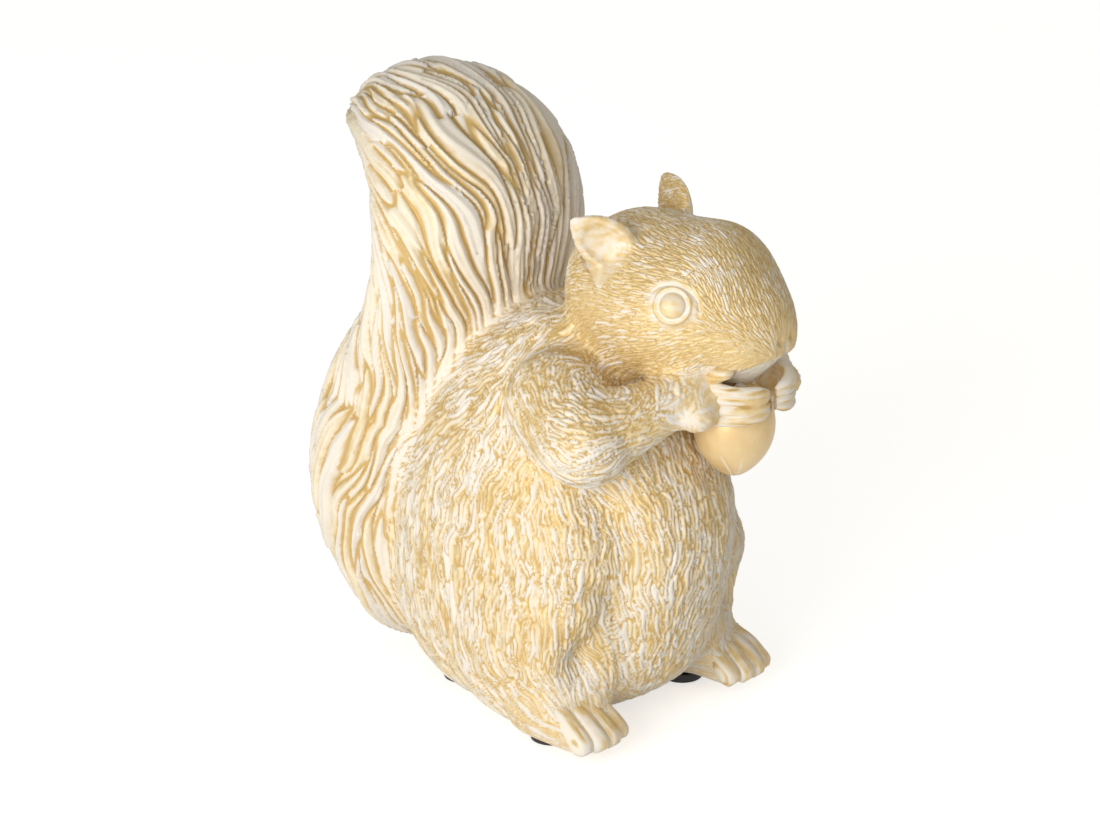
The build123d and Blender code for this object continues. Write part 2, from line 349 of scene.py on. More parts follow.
for side in (-1, 1):
    # Fold between the haunch and the belly
    to_side = np.array([side, 1, 1])
    fold = gap_to_line(points, [np.array(place) * to_side for place in fold_line])
    press -= fold_depth * ring(fold, 0, fold_width) * (1 - arm_share)
    press += haunch_swell * closeness(points, [haunch_place * to_side], haunch_reach)

    # Eye and its lids
    eye = face_place(*eye_place, side)
    shift = face_vector(*eye_shift, side)
    points = points + closeness(points, [eye], eye_shift_reach)[:, None] * shift
    eye = eye + shift
    look = unit(face_vector(*eye_look, side))
    level = unit(np.cross(look, face_vector(*brow_way)))
    rise_way = np.cross(level, look)
    from_eye = points - eye
    depth = from_eye @ look
    flat_way = from_eye @ level
    high_way = from_eye @ rise_way
    high_way = high_way * np.sign(rise_way[2])
    from_axis = np.hypot(flat_way, high_way)
    near_eye = (depth > -eye_depth) & (from_axis < eye_reach)
    upper = smooth_step(*upper_lid_heights, high_way)
    lid_line = ring(from_axis, lid_line_radius, lid_line_width)
    from_fold = np.hypot(flat_way / lid_fold_stretch, high_way)
    lid_fold = upper * ring(from_fold, lid_fold_radius, lid_line_width)
    lids = lid_height * ring(from_axis, lid_radius, lid_width)
    lids = lids - lid_line_depth * lid_line - lid_fold_depth * lid_fold
    lid_groove = np.maximum(lid_line_groove * lid_line, lid_fold_groove * lid_fold)
    lid_skin = 1 - smooth_step(*lid_smooth_radii, from_axis)
    lid_rubbed = lid_bare * (1 - smooth_step(*lid_bare_radii, from_axis))
    press += np.where(near_eye, lids, 0)
    hair_left *= np.where(near_eye, smooth_step(*lid_hair_radii, from_axis), 1)
    smooth_skin = np.maximum(smooth_skin, np.where(near_eye, lid_skin, 0))
    groove = np.maximum(groove, np.where(near_eye, lid_groove, 0))
    bare = np.maximum(bare, np.where(near_eye, lid_rubbed, 0))

    # Ear: a cup with a rim
    root = face_place(*ear_root, side)
    axis = unit(face_vector(*ear_axis, side))
    open_way = face_vector(*ear_face, side)
    open_way = unit(open_way - axis * (open_way @ axis))
    from_root = points - root
    reach_up = from_root @ axis
    wide = from_root @ np.cross(axis, open_way)
    half = np.interp(reach_up / ear_length, *zip(*ear_width_shares)) * ear_width / 2
    in_ear = smooth_step(*ear_start, reach_up) * (np.abs(wide) < ear_half_space)
    in_ear = in_ear * (np.abs(from_root @ open_way) < ear_half_depth)
    stretch = ear_wider[side] * np.outer(wide, np.cross(axis, open_way))
    stretch -= ear_shorter * np.outer(reach_up, axis)
    points = points + in_ear[:, None] * stretch
    inner = in_ear * smooth_step(*ear_facing, normals @ open_way)
    cup = 1 - smooth_step(*cup_sides, np.abs(wide) / half)
    cup *= smooth_step(*cup_start, reach_up) * (1 - smooth_step(*cup_end, reach_up))
    press -= cup_depth * cup * inner
    hair_left *= 1 - cup_hair_cut * inner
    smooth_skin = np.maximum(smooth_skin, inner)
    bare = np.maximum(bare, inner * cup_bare)

    # Instep, pressed back under the haunch, where the toes are laid later
    points[:, 1] += instep_push * closeness(points, [instep_place * to_side], instep_reach)

    # Palms, drawn up from under the fingers that are laid on them later
    on_palm = arm_share * closeness(points, [nut_middle + palm_place * to_side], palm_reach)
    from_nut = np.hypot(points[:, 0] - nut_middle[0], points[:, 1] - nut_middle[1])
    under_fingers = (arm_share > palm_arm_share) * (1 - smooth_step(*palm_spread, from_nut))
    points[:, 2] += palm_lift * under_fingers * np.clip(palm_bottom - points[:, 2], 0, palm_most_lift)
    reach = points[:, :2] - nut_middle[:2]
    ahead = reach @ face_forward[:2] / np.maximum(from_nut, 1e-6)
    tucked = palm_tuck * under_fingers * smooth_step(*palm_ahead, ahead)
    points[:, :2] -= tucked[:, None] * reach
    press -= palm_depth * on_palm
    bare = np.maximum(bare, palm_bare * on_palm)
    hair_left *= 1 - palm_hair_cut * np.minimum(palm_hair_gain * on_palm, 1)
    palms = np.maximum(palms, on_palm)
points = smoothed(skin, points, np.minimum(palm_smooth_gain * palms, 1), palm_passes)

# Nose, nostrils, whisker pads, and the lip that overhangs the mouth
from_back = points - head_back
forward = from_back @ face_forward
outward = from_back @ face_left
lip_height = np.interp(forward, *zip(*lip_line))
under_lip = smooth_step(0.0, lip_edge, lip_height - from_back[:, 2])
under_lip = under_lip * smooth_step(*mouth_corner, forward) * head_share
press -= lip_depth * under_lip
groove = np.maximum(groove, lip_groove * under_lip)
jaw = closeness(points, [face_place(*jaw_place)], jaw_reach) * head_share
points = points + jaw[:, None] * face_vector(*jaw_shift)
nose = face_place(*nose_tip)
points = points + closeness(points, [nose], nose_reach)[:, None] * face_vector(*nose_shift)
nostrils = [face_place(*nostril_place, side) for side in (-1, 1)]
press -= nostril_depth * closeness(points, nostrils, nostril_reach)
bare = np.maximum(bare, nostril_bare * closeness(points, nostrils, nostril_bare_reach))
cleft = ring(outward, 0, cleft_width) * closeness(points, [face_place(*cleft_place)], cleft_reach)
press -= cleft_depth * cleft
groove = np.maximum(groove, cleft_groove * cleft)
whisker_pads = [face_place(*whisker_place, side) for side in (-1, 1)]
press += whisker_swell * closeness(points, whisker_pads, whisker_reach) * (1 - under_lip)
nose_cut = nose_hair_cut * closeness(points, [nose], nose_hair_reach)
hair_left *= (1 - nose_cut) * (1 - lip_hair_cut * under_lip)
hair_left *= 1 - whisker_hair_cut * closeness(points, whisker_pads, whisker_hair_reach)
for place, radius, strength in rubbed_places:
    centres = [face_place(*place, side) for side in (-1, 1)]
    bare = np.maximum(bare, strength * closeness(points, centres, radius))
move_points(skin, points + normals * press[:, None])

# Combed coat
# Before the mould is taken, every lock is pressed into the clay with a loop tool. A lock starts
# at a root, lies along the flow of the coat, and meets its neighbours in a narrow groove.
hair_random = np.random.default_rng(7)
guide_reach = 15.0
swirl_size = 17.0
swirl_angle = math.radians(30.0)
swirl_seed = 3.7
wave_seeds = (11.3, 23.9, 37.1)
near_roots = 26
chunk = 40000
bend_reach = 1.5
tip_taper = 0.35
least_slope = 0.05
ridge_part, mound_part = 0.6, 0.4
# Place on the animal's right side, then the way that the hair lies there
right_guides = [
    ((0, -53, 60), (0.0, 0.0, -1.0)),
    ((0, -50, 30), (0.0, 0.2, -1.0)),
    ((0, -45, 85), (0.0, -0.2, -1.0)),
    ((-22, -45, 60), (0.1, -0.2, -1.0)),
    ((-38, -5, 70), (-0.1, 0.55, -0.8)),
    ((-40, -5, 50), (0.0, 0.0, -1.0)),
    ((-36, -30, 35), (0.0, 0.15, -1.0)),
    ((-36, 5, 20), (0.0, -0.5, -0.85)),
    ((-36, -15, 10), (0.0, -0.8, -0.5)),
    ((-31, -35, 10), (0.0, -1.0, -0.2)),
    ((-25, 5, 95), (-0.1, 0.8, -0.6)),
    ((-15, 25, 85), (0.0, 0.7, -0.7)),
    ((-20, -20, 100), (-0.2, 0.9, -0.4)),
    ((0, -45, 137), (-0.1, 1.0, 0.1)),
    ((5, -65, 128), (0.0, 0.4, 0.9)),
    ((-12, -60, 112), (-0.3, 0.9, 0.1)),
    ((-20, -40, 112), (-0.2, 0.95, -0.2)),
    ((-22, -30, 122), (-0.1, 1.0, -0.1)),
    ((0, -14, 125), (0.0, 0.8, -0.6)),
    ((-5, -50, 97), (0.0, 0.8, -0.5)),
    ((-27, -22, 97), (-0.3, -0.6, -0.7)),
    ((-36, -32, 92), (-0.1, -0.8, -0.5)),
    ((-39, -45, 86), (0.4, -0.8, 0.0)),
    ((-30, -53, 86), (0.85, -0.4, 0.3)),
    ((-18, -57, 92), (0.85, -0.35, 0.35)),
]
mirror = np.array([-1.0, 1.0, 1.0])
guide_places = np.array([place for place, _ in right_guides], float)
guide_ways = np.array([way for _, way in right_guides])
guide_places = np.vstack([guide_places, guide_places * mirror])
guide_ways = np.vstack([guide_ways, guide_ways * mirror])


def noise_at(points, size, seed):
    """Smooth noise from -1 to 1 with lumps of a size in millimetres."""
    return np.array([noise.noise(Vector(p)) for p in points / size + seed])


def waved(points, size, amount):
    """Points pushed about by smooth noise, so that what is laid straight on them comes out wavy."""
    push = np.stack([noise_at(points, size, seed) for seed in wave_seeds], 1)
    return points + np.reshape(amount, (-1, 1)) * push


def scatter(points, spacing):
    """Indices of points picked at random, about a spacing apart."""
    order = hair_random.permutation(len(points))
    cells = np.floor(points[order] / spacing).astype(int)
    _, picked = np.unique(cells, axis=0, return_index=True)
    return order[picked]


def coat_flow(points, normals):
    """The way that the hair lies at each point, along the surface."""
    gaps = ((points[:, None] - guide_places[None]) ** 2).sum(2)
    way = np.exp(-gaps / guide_reach**2) @ guide_ways
    way = unit(way - normals * (way * normals).sum(1, keepdims=True))
    angle = swirl_angle * noise_at(points, swirl_size, swirl_seed)
    return way * np.cos(angle)[:, None] + np.cross(normals, way) * np.sin(angle)[:, None]


def comb(points, roots, ways, sides, lengths, widths, heights, bend):
    """Lay every point on the highest of the locks about it. Each lock is a long round-backed mound.

    Returns the lock, the place across it in half widths, the mound's height there, which is
    1 on the back of a middling lock, and how far in millimetres the groove beside it is.
    """
    tree = kdtree.KDTree(len(roots))
    for index, root in enumerate(roots):
        tree.insert(root, index)
    tree.balance()
    bends = hair_random.uniform(-bend, bend, len(roots))
    parts = []
    for start in range(0, len(points), chunk):
        some = points[start:start + chunk]
        near = np.array([[hit[1] for hit in tree.find_n(p, near_roots)] for p in some])
        offset = some[:, None] - roots[near]
        along = (offset * ways[near]).sum(2) / lengths[near]
        across = (offset * sides[near]).sum(2) / widths[near]
        across -= bends[near] * np.clip(along, -bend_reach, bend_reach) ** 2
        taper = 1 + tip_taper * np.clip(along, -1, 1)
        mound = 1 + heights[near] - along**2 - (across * taper) ** 2
        rank = np.argpartition(-mound, 1)
        rows = np.arange(len(some))
        slopes = []
        for place in (rank[:, 0], rank[:, 1]):
            lock = near[rows, place]
            steep_along = along[rows, place] / lengths[lock]
            steep_across = across[rows, place] * taper[rows, place] ** 2 / widths[lock]
            slopes.append(2 * (steep_along[:, None] * ways[lock] + steep_across[:, None] * sides[lock]))
        best = rank[:, 0]
        parting = mound[rows, best] - mound[rows, rank[:, 1]]
        parting /= np.linalg.norm(slopes[1] - slopes[0], axis=1) + least_slope
        parts.append((near[rows, best], across[rows, best], mound[rows, best], parting))
    return [np.concatenate(column) for column in zip(*parts)]


def lock_rise(depth, ridge, mound):
    """How far the skin moves: outwards on the back of a lock, inwards in the groove beside it."""
    return depth * (ridge_part * ridge + mound_part * np.maximum(mound, -1.0) - ridge_part)


points = points_of(skin)
normals = normals_of(skin)
body_spacing, body_length, body_width, body_depth, body_groove = 3.3, 6.5, 0.72, 0.75, 0.6
head_spacing, head_length, head_width, head_depth, head_groove = 1.9, 3.0, 0.48, 0.34, 0.35
wave_size, body_wave, head_wave = 6.0, 1.5, 0.5
coat_sizes, coat_heights, coat_bend = (0.75, 1.25), (-0.15, 0.15), 0.3
most_tail_share = 0.95
base_heights = (2.6, 7.0)
on_coat = np.nonzero(tail_share < most_tail_share)[0]
coat_points = points[on_coat]
on_head = head_share[on_coat] > 0.5
body_roots = on_coat[~on_head][scatter(coat_points[~on_head], body_spacing)]
head_roots = on_coat[on_head][scatter(coat_points[on_head], head_spacing)]
roots = np.concatenate([body_roots, head_roots])
is_head = np.repeat([0.0, 1.0], [len(body_roots), len(head_roots)])
size_spread = hair_random.uniform(*coat_sizes, len(roots))
root_ways = coat_flow(points[roots], normals[roots])
root_sides = np.cross(normals[roots], root_ways)
waves = body_wave + head_share * (head_wave - body_wave)
lock, across, mound, parting = comb(
    waved(coat_points, wave_size, waves[on_coat]),
    waved(points[roots], wave_size, waves[roots]),
    root_ways,
    root_sides,
    size_spread * (body_length + is_head * (head_length - body_length)),
    size_spread * (body_width + is_head * (head_width - body_width)),
    hair_random.uniform(*coat_heights, len(roots)),
    coat_bend,
)
lock_tint = hair_random.uniform(0, 1, len(roots))
ridge = np.ones(len(points))
tint = np.full(len(points), 0.5)
rise = np.zeros(len(points))
groove_width = body_groove + head_share[on_coat] * (head_groove - body_groove)
coat_ridge = smooth_step(0.0, 1.0, parting / groove_width)
coat_depth = body_depth + head_share[on_coat] * (head_depth - body_depth)
coat_depth *= hair_left[on_coat] * smooth_step(*base_heights, coat_points[:, 2])
rise[on_coat] = lock_rise(coat_depth, coat_ridge, mound)
ridge[on_coat] = 1 - (1 - coat_ridge) * np.sqrt(np.clip(hair_left[on_coat], 0, 1))
tint[on_coat] = lock_tint[lock]

# Tail locks
# The tail's hair is modelled as long rounded locks, laid along the tail's spine and round it.
# They lean to the front of the waist, swing back above it, and split into finer strands.
tail_spine = [
    (35, 4), (40, 18), (44.5, 35), (45.5, 55), (40, 77), (31, 97),
    (27, 116), (30, 132), (40, 143), (54, 147.5), (69, 147),
]
spine_softness = 9.0
tail_radius = 30.0
tail_spacing, tail_length, tail_lock_width, tail_depth = 9.5, 27.0, 1.95, 1.8
tail_leans, tail_sizes, tail_heights, tail_bend = (-0.14, 0.14), (0.7, 1.3), (-0.2, 0.2), 0.9
tail_groove = 1.1
tail_wave_size, tail_wave, tail_wave_seed = 16.0, 3.0, 5.1
# How far the locks swing sideways, in tail radii, by the way along the spine
sway_shares = [(0, 0.0), (35, -0.15), (75, -0.45), (105, -0.1), (135, 0.4), (165, 0.6), (200, 0.55)]
strand_pitch, strand_depth, strand_offset = 1.6, 0.24, 9.0
strand_tone, strand_contrast = 0.7, 0.35
least_tail_share = 0.05
seam_calm = 0.6
tail_bare, head_bare, groove_wash = -0.25, 0.2, 1.6
bpy.ops.curve.primitive_nurbs_path_add()
spine_curve = bpy.context.object
spine = spine_curve.data.splines[0]
spine.points.add(len(tail_spine) - len(spine.points))
for knot, (y, z) in zip(spine.points, tail_spine):
    knot.co = (0, y * mm, z * mm, 1)
spine.order_u = 4
spine.use_endpoint_u = True
spine_curve.data.resolution_u = 16
spine_mesh = bpy.data.meshes.new_from_object(spine_curve)
spine_points = np.array([vertex.co for vertex in spine_mesh.vertices]) / mm
bpy.data.objects.remove(spine_curve)
spine_run = unit(np.gradient(spine_points, axis=0))
spine_steps = np.linalg.norm(np.diff(spine_points, axis=0), axis=1)
spine_lengths = np.concatenate([[0], np.cumsum(spine_steps)])

on_tail = np.nonzero(tail_share > least_tail_share)[0]
tail_points = points[on_tail]
reach_along = np.empty(len(tail_points))
for start in range(0, len(tail_points), chunk):
    some = tail_points[start:start + chunk]
    gaps = ((some[:, None] - spine_points[None]) ** 2).sum(2)
    weights = np.exp((gaps.min(1, keepdims=True) - gaps) / (2 * spine_softness**2))
    reach_along[start:start + chunk] = weights @ spine_lengths / weights.sum(1)
middle = np.stack([np.interp(reach_along, spine_lengths, column) for column in spine_points.T], 1)
run = unit(np.stack([np.interp(reach_along, spine_lengths, column) for column in spine_run.T], 1))
offset = tail_points - middle
turn = np.arctan2(offset[:, 0], (offset * np.cross(run, [1.0, 0.0, 0.0])).sum(1))
reach_along = reach_along + (offset * run).sum(1)
sway = tail_radius * np.interp(reach_along, *zip(*sway_shares))
wave = tail_wave * noise_at(tail_points, tail_wave_size, tail_wave_seed)
unrolled = np.stack([reach_along, turn * tail_radius + sway * np.sin(turn) + wave, 0 * turn], 1)
flat_roots = unrolled[scatter(unrolled, tail_spacing)]
circuit = 2 * math.pi * tail_radius
all_roots = np.vstack([flat_roots + [0, lap * circuit, 0] for lap in (-1, 0, 1)])
lean = np.tile(hair_random.uniform(*tail_leans, len(flat_roots)), 3)
tail_ways = np.stack([np.cos(lean), np.sin(lean), 0 * lean], 1)
tail_sides = np.stack([-np.sin(lean), np.cos(lean), 0 * lean], 1)
tail_size = np.tile(hair_random.uniform(*tail_sizes, len(flat_roots)), 3)
lock, across, mound, parting = comb(
    unrolled,
    all_roots,
    tail_ways,
    tail_sides,
    tail_size * tail_length,
    tail_size * tail_lock_width,
    np.tile(hair_random.uniform(*tail_heights, len(flat_roots)), 3),
    tail_bend,
)
lock_tint = np.tile(hair_random.uniform(0, 1, len(flat_roots)), 3)
strand_turn = 2 * math.pi * across * tail_lock_width / strand_pitch
strands = np.sin(strand_turn + strand_offset * lock_tint[lock])
tail_ridge = smooth_step(0.0, tail_groove, parting)
tail_rise = lock_rise(tail_depth, tail_ridge, mound)
tail_rise += strand_depth * strands * tail_ridge
blend = tail_share[on_tail]
rise[on_tail] = rise[on_tail] * (1 - blend) + tail_rise * blend
rise *= 1 - seam_calm * 4 * tail_share * (1 - tail_share)
ridge[on_tail] *= 1 - blend
ridge[on_tail] += blend * np.clip(tail_ridge * (strand_tone + strand_contrast * strands), 0, 1)
tint[on_tail] = tint[on_tail] * (1 - blend) + blend * lock_tint[lock]

ridge = ridge * (1 - smooth_skin) + smooth_skin
move_points(skin, points + normals * rise[:, None])
# ridge is 1 on the backs of locks and low in their grooves and between tail strands; the resin puts
# more wash on the backs and darkens the grooves with painted shade
write_values(skin, "ridge", ridge)
write_values(skin, "tint", tint)
bare = np.maximum(bare, head_bare * head_share) + tail_bare * tail_share
write_values(skin, "bare", bare - groove_wash * groove)

# Castings
# The clay is cut at the neck, the shoulders and the tail's seat, and each piece is cast in
# resin from its own mould and glued to the torso, with the seams hidden by the hair.
most_triangles = 175000
# Socket numbers of a colour Mix node: its two colours and its result
mix_first, mix_second, mix_result = 6, 7, 2
select_only(skin)
bpy.ops.object.mode_set(mode="EDIT")
bpy.ops.mesh.select_all(action="SELECT")
bpy.ops.mesh.separate(type="MATERIAL")
bpy.ops.object.mode_set(mode="OBJECT")
castings = {}
for piece in list(bpy.context.selected_objects):
    name = piece.data.materials[0].name.removesuffix("_mark")
    piece.name = name + "_casting"
    piece.data.materials.clear()
    castings[name] = piece


def linear(hex_colour):
    """A written sRGB colour as linear values."""
    channels = [int(hex_colour[at:at + 2], 16) / 255 for at in (1, 3, 5)]
    return [c / 12.92 if c <= 0.04045 else ((c + 0.055) / 1.055) ** 2.4 for c in channels] + [1.0]


def add_node(tree, kind, inputs, **settings):
    """Add a shader node. Each input takes a value, or the output socket that it is linked to."""
    made = tree.nodes.new(kind)
    for name, value in settings.items():
        setattr(made, name, value)
    for name, value in inputs.items():
        if isinstance(value, bpy.types.NodeSocket):
            tree.links.new(value, made.inputs[name])
        else:
            made.inputs[name].default_value = value
    return made


def gilded_resin():
    """Cast resin, sprayed gold, then brushed with a white wash that was rubbed off in places.

    The eye sees chalky cream hair with golden-brown lines between, gold in the grooves darkened as
    painted shade, and satin gold where it is rubbed.
    """
    patch_size, speckle_size, hair_size, hair_height = 15.0, 2.2, 0.45, 0.1
    deep_gold, pale_gold, shaded_groove_gold = "#DAB672", "#F1DCAC", "#CEAC68"
    warm_white, cool_white = "#F5EAD2", "#EFE8DF"
    material = bpy.data.materials.new("gilded_resin")
    material.use_nodes = True
    tree = material.node_tree
    shader = tree.nodes["Principled BSDF"]
    place = add_node(tree, "ShaderNodeTexCoord", {}).outputs["Object"]
    ridge_of = add_node(tree, "ShaderNodeAttribute", {}, attribute_name="ridge").outputs["Fac"]
    tint_of = add_node(tree, "ShaderNodeAttribute", {}, attribute_name="tint").outputs["Fac"]
    bare_of = add_node(tree, "ShaderNodeAttribute", {}, attribute_name="bare").outputs["Fac"]
    patch = add_node(tree, "ShaderNodeTexNoise", {
        "Vector": place, "Scale": 1 / (patch_size * mm), "Detail": 3.0, "Roughness": 0.55,
    }).outputs["Fac"]
    speckle = add_node(tree, "ShaderNodeTexNoise", {
        "Vector": place, "Scale": 1 / (speckle_size * mm), "Detail": 2.0,
    }).outputs["Fac"]
    # How much wash is left: it differs by lock and in patches, and is less where it was rubbed
    cover = 0.0
    weights = [(patch, 1.3), (speckle, 0.4), (tint_of, 0.5), (ridge_of, 0.5), (bare_of, -1.2)]
    for source, weight in weights:
        cover = add_node(tree, "ShaderNodeMath", {
            0: source, 1: weight, 2: cover,
        }, operation="MULTIPLY_ADD").outputs[0]
    wash = add_node(tree, "ShaderNodeMapRange", {
        "Value": cover, "From Min": 0.9, "From Max": 1.7,
    }, interpolation_type="SMOOTHSTEP").outputs["Result"]
    # Low on a lock, in its grooves, the colour turns to a darker gold: the gold paint there, with
    # painted shade in it
    depth = add_node(tree, "ShaderNodeMapRange", {
        "Value": ridge_of, "From Min": 0.0, "From Max": 0.4,
    }, interpolation_type="SMOOTHSTEP").outputs["Result"]
    gold = add_node(tree, "ShaderNodeMix", {
        "Factor": speckle, mix_first: linear(deep_gold), mix_second: linear(pale_gold),
    }, data_type="RGBA")
    white = add_node(tree, "ShaderNodeMix", {
        "Factor": tint_of, mix_first: linear(warm_white), mix_second: linear(cool_white),
    }, data_type="RGBA")
    painted = add_node(tree, "ShaderNodeMix", {
        "Factor": wash, mix_first: gold.outputs[mix_result], mix_second: white.outputs[mix_result],
    }, data_type="RGBA")
    colour = add_node(tree, "ShaderNodeMix", {
        "Factor": depth, mix_first: linear(shaded_groove_gold), mix_second: painted.outputs[mix_result],
    }, data_type="RGBA")
    rough = add_node(tree, "ShaderNodeMapRange", {"Value": wash, "To Min": 0.46, "To Max": 0.62})
    metal = add_node(tree, "ShaderNodeMapRange", {"Value": wash, "To Min": 0.2, "To Max": 0.0})
    fine = add_node(tree, "ShaderNodeTexNoise", {
        "Vector": place, "Scale": 1 / (hair_size * mm), "Detail": 2.0,
    }).outputs["Fac"]
    bump = add_node(tree, "ShaderNodeBump", {
        "Height": fine, "Strength": 0.2, "Distance": hair_height * mm,
    })
    tree.links.new(colour.outputs[mix_result], shader.inputs["Base Color"])
    tree.links.new(rough.outputs["Result"], shader.inputs["Roughness"])
    tree.links.new(metal.outputs["Result"], shader.inputs["Metallic"])
    tree.links.new(bump.outputs["Normal"], shader.inputs["Normal"])
    shader.inputs["IOR"].default_value = 1.5
    return material


resin = gilded_resin()
for name, piece in castings.items():
    select_only(piece)
    triangles = sum(len(face.vertices) - 2 for face in piece.data.polygons)
    if triangles > most_triangles:
        thinning = piece.modifiers.new("thinning", "DECIMATE")
        thinning.ratio = most_triangles / triangles
        bpy.ops.object.modifier_apply(modifier=thinning.name)
    bpy.ops.object.mode_set(mode="EDIT")
    bpy.ops.mesh.select_mode(type="EDGE")
    bpy.ops.mesh.select_all(action="DESELECT")
    bpy.ops.mesh.select_non_manifold()
    bpy.ops.mesh.mark_sharp()
    bpy.ops.mesh.fill_holes(sides=0)
    bpy.ops.mesh.select_mode(type="FACE")
    bpy.ops.mesh.poke()
    bpy.ops.object.mode_set(mode="OBJECT")
    bpy.ops.object.shade_smooth()
    piece.data.materials.append(resin)
    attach(piece, "root")
    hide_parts(name)

# Fingers and toes
# Each paw's four fingers and thumb, and each foot's four toes, are rolled from clay and laid on
# before the moulds are taken, so they are cast in one piece with the arm or the torso.
finger_heights = [90.4, 93.6, 96.8, 100.0]
finger_radius = 1.6
finger_turns = {-1: [112, 88, 64, 40, 20, 12], 1: [112, 88, 60, 34, 10, 2]}
finger_spreads = {-1: [9.5, 12.6, 12.4, 12.3, 12.0, 11.2], 1: [9.5, 13.6, 14.4, 14.2, 13.0, 11.6]}
finger_thickness_shares = [0.6, 1.12, 0.92, 1.12, 0.95, 0.45]
finger_fan = [0.45, 0.15, -0.15, -0.6]
thumb_turns = [100, 88, 76, 66, 61]
thumb_heights = [99.5, 102.0, 103.4, 104.0, 104.2]
thumb_spread = 12.0
thumb_radius = 1.75
thumb_thickness_shares = [0.7, 1.1, 1.15, 0.95, 0.2]
toe_offsets = [-6.5, -2.2, 2.2, 6.5]
toe_advances = [-1.2, 0.0, 0.0, -1.5]
toe_line = [(-27.0, 15.0), (-33.0, 13.8), (-38.5, 11.2), (-42.5, 8.0), (-44.6, 5.9), (-45.3, 5.1)]
toe_fan = [0.6, 0.8, 0.95, 1.0, 1.0, 1.0]
toe_radius = 2.7
toe_thickness_shares = [0.6, 0.9, 1.0, 1.12, 1.1, 0.6]
streak_size, streak_length, streak_depth, streak_seed = 0.9, 6.0, 0.25, 0.5
streak_edges = (-0.7, 0.1)
facing_beside = (0.6, 0.95)
digit_bare = 0.25
# How much more wash stayed between neighbours
finger_white, thumb_white, toe_white = 1.3, 0.0, 1.2


def round_the_nut(turn, spread, height, side):
    """A place about the nut's axis, at an angle from the front of the face towards one side."""
    angle = math.radians(turn)
    out = face_vector(math.cos(angle) * spread, math.sin(angle) * spread, 0, side)
    return np.array([nut_middle[0], nut_middle[1], height]) + out


def rolled_digit(places, radius, thickness_shares, beside_way, white_between):
    """A tapered roll of clay along some places, scored with streaks, and painted like its casting."""
    bpy.ops.object.select_all(action="DESELECT")
    bpy.ops.curve.primitive_nurbs_path_add()
    digit = bpy.context.object
    digit.data.bevel_depth = radius * mm
    digit.data.bevel_resolution = 12
    digit.data.use_fill_caps = True
    path = digit.data.splines[0]
    path.points.add(len(places) - len(path.points))
    for knot, place, share in zip(path.points, places, thickness_shares):
        knot.co = (*(place * mm), 1)
        knot.radius = share
    path.order_u = 3
    path.use_endpoint_u = True
    digit.data.resolution_u = 8
    bpy.ops.object.convert(target="MESH")
    digit = bpy.context.object
    normals = normals_of(digit)
    beside = smooth_step(*facing_beside, np.abs(normals @ beside_way))
    rolled = points_of(digit)
    drawn_out = rolled / streak_length
    drawn_out += np.outer(rolled @ beside_way, beside_way) * (1 / streak_size - 1 / streak_length)
    streak = noise_at(drawn_out, 1.0, streak_seed)
    move_points(digit, rolled + streak_depth * streak[:, None] * normals)
    # Low streaks get the resin's darker groove gold: painted shade in the scored lines
    write_values(digit, "ridge", smooth_step(*streak_edges, streak))
    write_values(digit, "tint", np.clip(0.5 + streak, 0, 1))
    write_values(digit, "bare", digit_bare - white_between * beside)
    digit.data.materials.append(resin)
    return digit


def lay_on(casting, digits):
    """Join rolled digits to the casting that carries them."""
    select_only(casting)
    for digit in digits:
        digit.select_set(True)
    bpy.ops.object.join()
    bpy.ops.object.shade_smooth()


upright, sideways = np.array([0.0, 0.0, 1.0]), np.array([1.0, 0.0, 0.0])
for side, arm_name in ((-1, "right_arm"), (1, "left_arm")):
    fingers = []
    for height, fan in zip(finger_heights, finger_fan):
        heights = [height + fan * step for step in range(len(finger_turns[side]))]
        shape = zip(finger_turns[side], finger_spreads[side], heights)
        places = [round_the_nut(turn, spread, level, side) for turn, spread, level in shape]
        finger = rolled_digit(places, finger_radius, finger_thickness_shares, upright, finger_white)
        fingers.append(finger)
    shape = zip(thumb_turns, thumb_heights)
    places = [round_the_nut(turn, thumb_spread, level, side) for turn, level in shape]
    fingers.append(rolled_digit(places, thumb_radius, thumb_thickness_shares, upright, thumb_white))
    lay_on(castings[arm_name], fingers)

    toes = []
    for offset, advance in zip(toe_offsets, toe_advances):
        places = []
        for (y, z), fan in zip(toe_line, toe_fan):
            places.append(np.array([side * (foot_middle + offset * fan), y - advance, z]))
        toes.append(rolled_digit(places, toe_radius, toe_thickness_shares, sideways, toe_white))
    lay_on(castings["torso"], toes)

# Nut
# A smooth resin nut with a pointed lower end, sprayed with the same gold and rubbed clean.
# A few shallow lines run up from its point. It is glued between the two paws.
nut_radius = (nut_high[0] - nut_low[0]) / 2
nut_top = nut_high[2]
nut_waist = nut_high[2] - 12.5
nut_tip = nut_low[2]
nut_point, nut_point_power = 0.11, 6
nut_line_turns = [-150, -118, -75, -38, 20, 95]
line_bend, line_waves = 9, 4
line_start, line_stagger, line_fade = -0.35, 0.12, 0.25
line_width, line_depth = 0.32, 0.22
bpy.ops.object.select_all(action="DESELECT")
bpy.ops.mesh.primitive_uv_sphere_add(segments=160, ring_count=96, radius=mm)
nut = bpy.context.object
nut.name = "nut_casting"
ball = points_of(nut)
height = ball[:, 2]
round_share = np.sqrt(np.clip(1 - height**2, 0, 1))
pointing = 1 - nut_point + nut_point * np.abs(height) ** nut_point_power
lower_z = nut_waist + (nut_waist - nut_tip) * height * pointing
upper_z = nut_waist + (nut_top - nut_waist) * height
turn = np.degrees(np.arctan2(ball[:, 1], ball[:, 0]))
line = np.zeros(len(ball))
